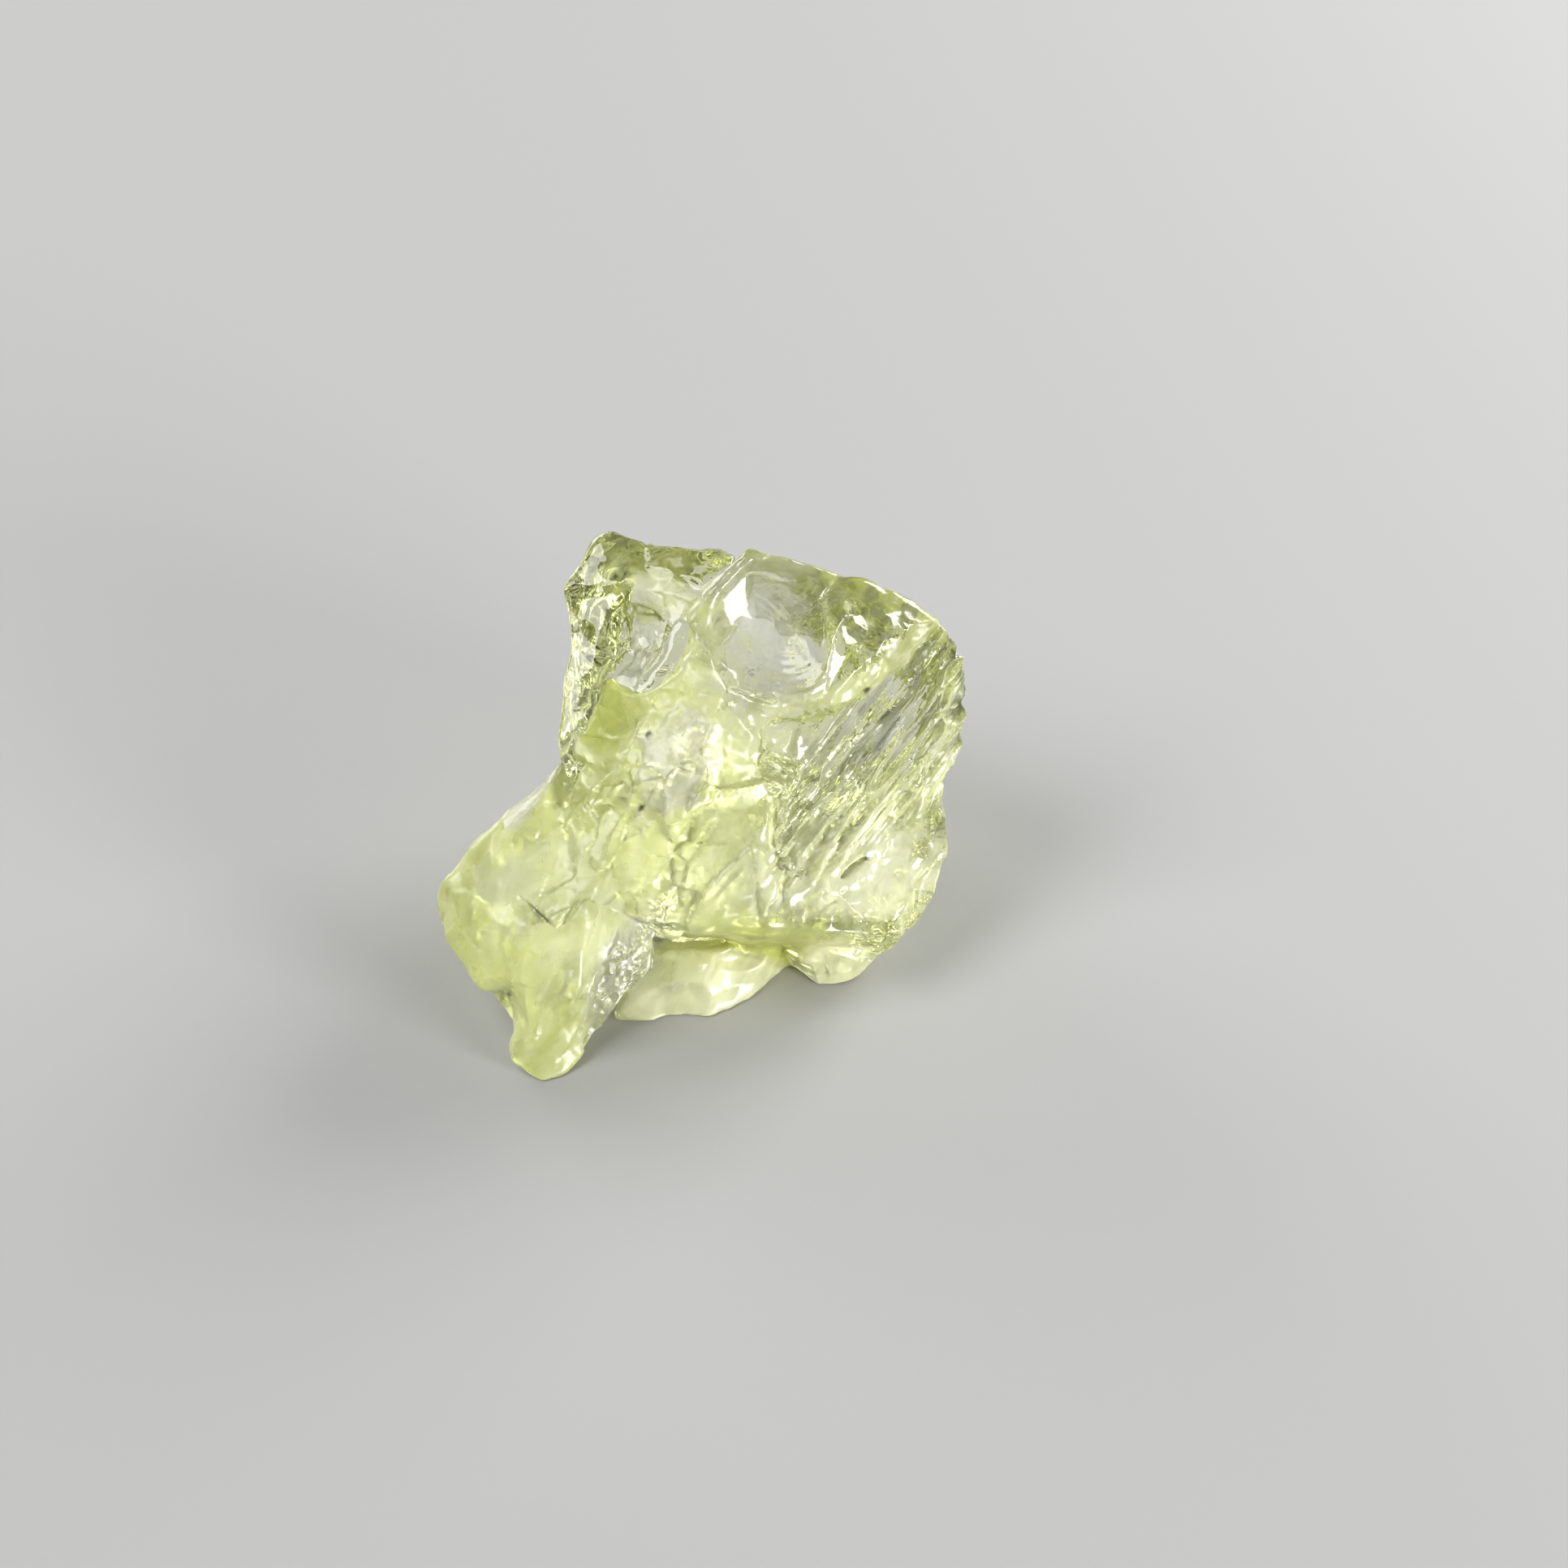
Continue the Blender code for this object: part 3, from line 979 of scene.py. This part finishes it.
        lift = self.flats(inputs["Stone"], seen, warp)
        depth = self.depth(seen, warp, back) - lift * self.rough_share(seen)
        move = graph.vector_math("SCALE", normal, None)
        graph.tree.links.new((depth * -MM).socket, move.socket.node.inputs["Scale"])
        moved = graph.node("GeometryNodeSetPosition", {}, {"Geometry": inputs["Stone"], "Offset": move})
        kept = moved.outputs[0]
        for region, mask in self.regions(seen).items():
            settings = {"data_type": "FLOAT", "domain": "POINT"}
            stored = {"Geometry": kept, "Name": region.value, "Value": mask}
            kept = graph.node("GeometryNodeStoreNamedAttribute", settings, stored).outputs[0]
        real = graph.node("GeometryNodeRealizeInstances", {}, {0: kept})
        dressed = {"Geometry": real.outputs[0], "Material": inputs["Finish"]}
        finished = graph.node("GeometryNodeSetMaterial", {}, dressed)
        graph.node("NodeGroupOutput", {}, {0: finished.outputs[0]})
        modifier = stone.modifiers.new("broken surface", "NODES")
        modifier.node_group = tree
        for name, value in sizes.items():
            modifier[named[name].identifier] = value
        modifier[finish.identifier] = self.finish.material()
        soften = stone.modifiers.new("soften", "SMOOTH")
        soften.factor = self.softening
        soften.iterations = 1
        settle(stone)

    def flats(self, stone: Any, seen: Seen, warp: Value) -> Value:
        """Flat faces side by side, each in the plane of the surface at its middle.

        Args:
            stone: the stone's geometry.
            seen: the place on the stone.
            warp: a shift that bends the faces' borders.

        Returns:
            How far the face lies above the surface, in millimetres.
        """
        graph, given = seen.graph, seen.given
        warped = graph.vector_math("ADD", seen.place, warp)
        pressed = graph.stretched(warped, self.shard_way, 1 / given["Shard length"])
        middle = graph.cell(pressed, given["Facet size"], given["Seed"]).outputs["Position"]
        middle = graph.stretched(middle, self.shard_way, given["Shard length"])
        middle = graph.vector_math("SUBTRACT", middle, warp)
        spot = graph.vector_math("MULTIPLY", middle, (MM, MM, MM))
        normal = graph.value("GeometryNodeInputNormal", {}, {})
        position = graph.value("GeometryNodeInputPosition", {}, {})
        slant, point = (
            graph.value(
                "GeometryNodeSampleNearestSurface",
                {"data_type": "FLOAT_VECTOR"},
                {"Mesh": stone, "Value": read, "Sample Position": spot},
            )
            for read in (normal, position)
        )
        away = graph.vector_math("SUBTRACT", point, position)
        across = graph.vector_math("DOT_PRODUCT", normal, slant, "Value").higher(self.least_slant)
        lift = graph.vector_math("DOT_PRODUCT", away, slant, "Value") / across / MM
        return lift.lower(self.most_lift).higher(-self.most_lift) * given["Facet share"]

    def rough_share(self, seen: Seen) -> Value:
        """How much of its flat faces a place shows.

        Args:
            seen: the place on the stone.

        Returns:
            1 in the middle of the stone, and little or nothing in the window, on the ridged face, on
            the slab, at the floor and beside a cleft.
        """
        share = seen.mask(CENTRE) * (1 - self.plain_share) + self.plain_share
        share = share * (1 - self.slab(seen) * self.slab_flats) * (1 - self.calm(seen) * self.calm_flats)
        return self.beside_clefts(seen, share * seen.outside(FACET_FREE) * seen.above_floor())

    def beside_clefts(self, seen: Seen, share: Value) -> Value:
        """Takes a number to 0 beside each cleft.

        Args:
            seen: the place on the stone.
            share: the number.

        Returns:
            The number away from the clefts, 0 on their walls.
        """
        for cleft in CLEFTS:
            share = share * (1 - seen.near(cleft, self.eye))
        return share

    def depth(self, seen: Seen, warp: Value, back: Value) -> Value:
        """How deep the surface is cut.

        Args:
            seen: the place on the stone.
            warp: a shift that bends the borders between chips.
            back: 1 where the surface faces away from the eye, 0 where it faces the eye.

        Returns:
            The depth, in millimetres.
        """
        warped = seen.graph.vector_math("ADD", seen.place, warp)
        depth = self.fracture(seen, warped, back) + self.details(seen, warped)
        depth = depth + self.hackles(seen) * seen.mask(RIDGED)
        for crest in CRESTS:
            depth = depth - seen.crest(crest) * crest.height
        depth = self.beside_clefts(seen, depth) * seen.above_floor()
        return depth * (1 - self.slab(seen) * self.slab_calm) * (1 - self.calm(seen) * self.calm_calm)

    def fracture(self, seen: Seen, warped: Value, back: Value) -> Value:
        """Hollow chips of three sizes, and faint ripples in the big ones.

        Args:
            seen: the place on the stone.
            warped: the place, shifted so that the chips' borders bend.
            back: 1 where the surface faces away from the eye.

        Returns:
            Their depth, in millimetres.
        """
        graph, given = seen.graph, seen.given
        big, middle, small = (
            self.chips(graph, warped, given[f"{size} chip"], given["Seed"]) * given[f"{size} depth"]
            for size in ("Big", "Middle", "Small")
        )
        wander = graph.noise(seen.place, self.front_patch, 2) * self.front_wander
        milky = (seen.right + wander).rise(*self.front_edge) * (1 - back)
        ragged = graph.noise(seen.place, self.patch, 2).rise(*self.chipped_edge)
        ragged = ragged * (1 - milky * self.front_calm)
        away = graph.cells(warped, given["Big chip"], given["Seed"]) * given["Big chip"]
        ripple = (away * self.wave_turn).wave() * self.ripple_height
        broken = big * (back * (1 - self.front_share) + self.front_share) + (middle + small) * ragged
        return (ripple + broken) * seen.outside(CHIP_FREE)

    def details(self, seen: Seen, warped: Value) -> Value:
        """The scales in the middle, the flake, the foot's rough side, the crack and the window's rings.

        Args:
            seen: the place on the stone.
            warped: the place, shifted so that the scales' borders bend.

        Returns:
            Their depth, in millimetres.
        """
        graph, given = seen.graph, seen.given
        pressed = graph.stretched(warped, self.shard_way, 1 / given["Shard length"])
        scale = graph.facets(pressed, given["Scale size"], given["Seed"]) * given["Scale slant"]
        rough = self.chips(graph, seen.place, self.rough_chip, given["Seed"]) * self.rough_depth
        from_middle = ((seen.right - RINGS.right) ** 2 + (seen.up - self.ring_middle) ** 2).root()
        rings = (from_middle * self.wave_turn).wave() * self.ring_height
        depth = scale * seen.mask(SCALES) - seen.mask(FLAKE) * self.flake_step
        depth = depth + rough * seen.mask(FOOT_SIDE) + rings * seen.mask(RINGS)
        return depth + (seen.mask(CRACK) + seen.mask(BRANCH)) * self.crack_depth

    def hackles(self, seen: Seen) -> Value:
        """The ridges and the long splinters of the right-hand face.

        Args:
            seen: the place on the stone.

        Returns:
            Their depth, in millimetres.
        """
        graph, given = seen.graph, seen.given
        beside = seen.turned(RIDGED.turn)[1]
        wander = graph.noise(seen.place, self.ridge_bend, 1) * self.ridge_reach
        tooth = ((beside + wander) / given["Ridge spacing"]).rest()
        pressed = graph.stretched(seen.place, self.ridge_way, self.splinter_press)
        splinters = (graph.noise(pressed, self.splinter, 1) - 0.5).size() * self.splinter_height
        return (tooth - self.ridge_lean).size() * given["Ridge height"] + splinters

    def slab(self, seen: Seen) -> Value:
        """The thin slab, which lies behind the foot."""
        return seen.mask(SLAB) * seen.towards.rise(*self.slab_edge)

    def block(self, seen: Seen) -> Value:
        """The block behind the front ridge."""
        return seen.mask(BACK_BLOCK) * seen.towards.rise(*self.block_edge)

    def calm(self, seen: Seen) -> Value:
        """Where the surface is smoother: on the block behind and under the overhang."""
        return (self.block(seen) + seen.mask(OVERHANG)).lower(1)

    def regions(self, seen: Seen) -> dict[Region, Value]:
        """Where the stone is milky, tinted or marked dark, and where light and shade are painted on.

        Args:
            seen: the place on the stone.

        Returns:
            For each region, 1 inside it and 0 outside.
        """
        patches = seen.graph.noise(seen.place, self.patch, 3, 0.4)
        # The specks, and the crack's line, painted dark.
        dark_marks = seen.highest(Patch(place) for place in (CRACK, *SPECKS))
        # Painted light, kept off the dark marks.
        painted_light = self.painted_light(seen, patches) * (1 - dark_marks)
        return {
            Region.MILK: self.milk(seen, patches),
            Region.WHITE: seen.highest(WHITE_PATCHES),
            Region.PAINTED_LIGHT: painted_light.lower(1),
            Region.GREY: seen.highest(GREY_PATCHES),
            Region.GREEN: seen.total(GREEN_PATCHES).lower(1),
            Region.RIDGED: seen.mask(RIDGED),
            Region.SHADE: self.shade(seen, painted_light),
            Region.DARK_MARKS: dark_marks,
        }

    def milk(self, seen: Seen, patches: Value) -> Value:
        """Where the stone is milky: on the left, in front of the contour, and in a few patches.

        Args:
            seen: the place on the stone.
            patches: noise that makes its border uneven.

        Returns:
            1 where it is milky, 0 where it is clear.
        """
        left = (seen.right + (patches - 0.5) * self.milk_wander).rise(*self.milk_left)
        behind = seen.turned(CONTOUR_TURN, *CONTOUR_START)[1]
        front = (behind - (patches - 0.5) * self.contour_wander).rise(*self.milk_behind)
        front = front * seen.towards.rise(*self.milk_front)
        cloudy = patches.rise(*self.milk_patch) * (1 - self.least_milk) + self.least_milk
        milk = left * cloudy * front * (1 - self.slab(seen)) * seen.outside(MILK_FREE)
        return milk.higher(seen.highest(MILKY_PATCHES)).lower(1)

    def painted_light(self, seen: Seen, patches: Value) -> Value:
        """Painted light: where brightness is painted on, as if lit through from behind: on the slab, the toe,
        the lower right and a few streaks.

        Args:
            seen: the place on the stone.
            patches: noise that breaks up the lower right.

        Returns:
            Over 0 where light is painted on.
        """
        graph = seen.graph
        upper = seen.mask(UPPER_RIGHT) * (1 - seen.mask(WINDOW))
        streaks = graph.noise(seen.place, self.streak, 2).rise(*self.streak_edge)
        pressed = graph.stretched(seen.place, self.ridge_way, self.feather_press)
        feathers = graph.noise(pressed, self.feather, 2).rise(*self.feather_edge)
        painted_light = self.slab(seen) + seen.total(PAINTED_LIGHT_PATCHES)
        lower_right = seen.mask(LOWER_RIGHT) * patches.rise(*self.lower_right_edge)
        painted_light = painted_light + lower_right * self.lower_right_share
        painted_light = painted_light + seen.mask(FLECK) * seen.towards.rise(*self.fleck_edge)
        painted_light = painted_light + upper * streaks * self.streak_share
        even = 1 - self.feather_share
        return painted_light + seen.mask(LOWER_MIDDLE) * (feathers * self.feather_share + even)

    def shade(self, seen: Seen, painted_light: Value) -> Value:
        """Painted shade: thin dark streaks in the clear parts, and a faint darkening of the foot's rough
        side.

        Args:
            seen: the place on the stone.
            painted_light: where light is painted on, which has no painted shade.

        Returns:
            How dark it is, from 0 to 1.
        """
        pressed = seen.graph.stretched(seen.place, self.ridge_way, self.shade_press)
        lines = seen.graph.noise(pressed, self.shade_line, 1).rise(*self.shade_edge)
        dark = seen.mask(RIDGED) * seen.up.rise(*self.shade_above) * self.ridged_shade
        dark = dark + seen.mask(UPPER_RIGHT) * (1 - seen.mask(WINDOW)) * self.upper_shade
        dark = dark + self.block(seen) * self.block_shade
        shade = lines * dark * (1 - seen.mask(FEATHER)) * (1 - painted_light.lower(1))
        return shade.higher(seen.mask(FOOT_SIDE) * self.foot_shade)

    def chips(self, graph: Graph, place: Value, size: Any, seed: Value) -> Value:
        """Hollow chips side by side: 0.5 in the middle of one, less towards its sharp rim."""
        away = graph.cells(place, size, seed) / self.chip_rim
        return (0.5 - away * away).higher(-0.5)


def settle(made: bpy.types.Object) -> None:
    """Puts the modifiers' result into the object's own mesh.

    Args:
        made: the object.
    """
    graph = bpy.context.evaluated_depsgraph_get()
    mesh = bpy.data.meshes.new_from_object(made.evaluated_get(graph))
    made.modifiers.clear()
    made.data = mesh


def thin_out(made: bpy.types.Object, most: int) -> None:
    """Leaves large triangles where the surface is plain and small ones at its edges.

    Args:
        made: the object.
        most: how many triangles it may have.
    """
    triangles = sum(len(face.vertices) - 2 for face in made.data.polygons)
    if triangles > most:
        decimate = made.modifiers.new("fewer", "DECIMATE")
        decimate.ratio = most / triangles
        settle(made)


def drop_crumbs(made: bpy.types.Object, fewest: int = 40) -> None:
    """Removes the flat crumbs that thinning leaves beside the stone.

    Args:
        made: the object.
        fewest: how many points a piece has at least to stay.
    """
    shape = bmesh.new()
    shape.from_mesh(made.data)
    waiting = set(shape.verts)
    while waiting:
        piece, edge = set(), [waiting.pop()]
        while edge:
            vert = edge.pop()
            piece.add(vert)
            near = {link.other_vert(vert) for link in vert.link_edges} & waiting
            waiting -= near
            edge.extend(near)
        if len(piece) < fewest:
            bmesh.ops.delete(shape, geom=list(piece), context="VERTS")
    shape.to_mesh(made.data)
    shape.free()


def keep_within(made: bpy.types.Object, solid: bpy.types.Object) -> None:
    """Holds an object within another one's box.

    Args:
        made: the object.
        solid: the object whose box it stays in.
    """
    corners = np.array([tuple(vert.co) for vert in solid.data.vertices])
    points = np.empty(len(made.data.vertices) * 3)
    made.data.vertices.foreach_get("co", points)
    points = np.clip(points.reshape(-1, 3), corners.min(axis=0), corners.max(axis=0))
    made.data.vertices.foreach_set("co", points.ravel())
    made.data.update()


@dataclass(frozen=True)
class Lamp:
    """A soft, square light that points at the stone."""

    name: str
    place: tuple[float, float, float]
    size: float
    power: float


LAMPS = (
    Lamp("key", (-0.30, -0.12, 0.42), 0.30, 1.9),
    Lamp("back right", (0.36, 0.34, 0.22), 0.30, 3.3),
    Lamp("back left", (-0.34, 0.40, 0.18), 0.30, 1.4),
    Lamp("side", (0.42, -0.32, 0.13), 0.22, 2.7),
)


@dataclass
class Studio:
    """The pale floor and the soft lights."""

    floor_half: float = 1.5
    gap: float = 0.03 * MM
    floor_colour: Colour = (0.43, 0.43, 0.42, 1)
    floor_roughness: float = 0.7
    world: Colour = (0.62, 0.65, 0.70, 1)
    world_strength: float = 0.13
    aim_height: float = 15 * MM

    def build(self) -> None:
        """Makes the floor, the lights and the sky."""
        mesh = bpy.data.meshes.new("floor")
        half, low = self.floor_half, -self.gap
        corners = [(-half, -half, low), (half, -half, low), (half, half, low), (-half, half, low)]
        mesh.from_pydata(corners, [], [(0, 1, 2, 3)])
        floor = placed("floor", mesh)
        material = bpy.data.materials.new("floor")
        material.use_nodes = True
        shader = material.node_tree.nodes["Principled BSDF"]
        shader.inputs["Base Color"].default_value = self.floor_colour
        shader.inputs["Roughness"].default_value = self.floor_roughness
        mesh.materials.append(material)
        world = bpy.data.worlds.new("sky")
        world.use_nodes = True
        background = world.node_tree.nodes["Background"]
        background.inputs["Color"].default_value = self.world
        background.inputs["Strength"].default_value = self.world_strength
        bpy.context.scene.world = world
        for lamp in LAMPS:
            self.light(lamp)

    def light(self, lamp: Lamp) -> None:
        """Makes one light.

        Args:
            lamp: the light.
        """
        data = bpy.data.lights.new(lamp.name, "AREA")
        data.size = lamp.size
        data.energy = lamp.power
        made = placed(lamp.name, data)
        made.location = lamp.place
        aim = Vector(lamp.place) - Vector((0, 0, self.aim_height))
        made.rotation_euler = aim.to_track_quat("Z", "Y").to_euler()


def main() -> None:
    """Builds the stone and its studio, in order."""
    logging.basicConfig(level=logging.INFO, format="%(name)s: %(message)s")
    eye = Eye()
    eye.camera()
    stone = Stone(eye, QuartzFinish()).build()
    LOG.info("stone: %d faces", len(stone.data.polygons))
    Studio().build()
    scene = bpy.context.scene
    scene.cycles.max_bounces = 16
    scene.cycles.transmission_bounces = 16
    scene.view_settings.view_transform = "Standard"


if __name__ == "__main__":
    main()
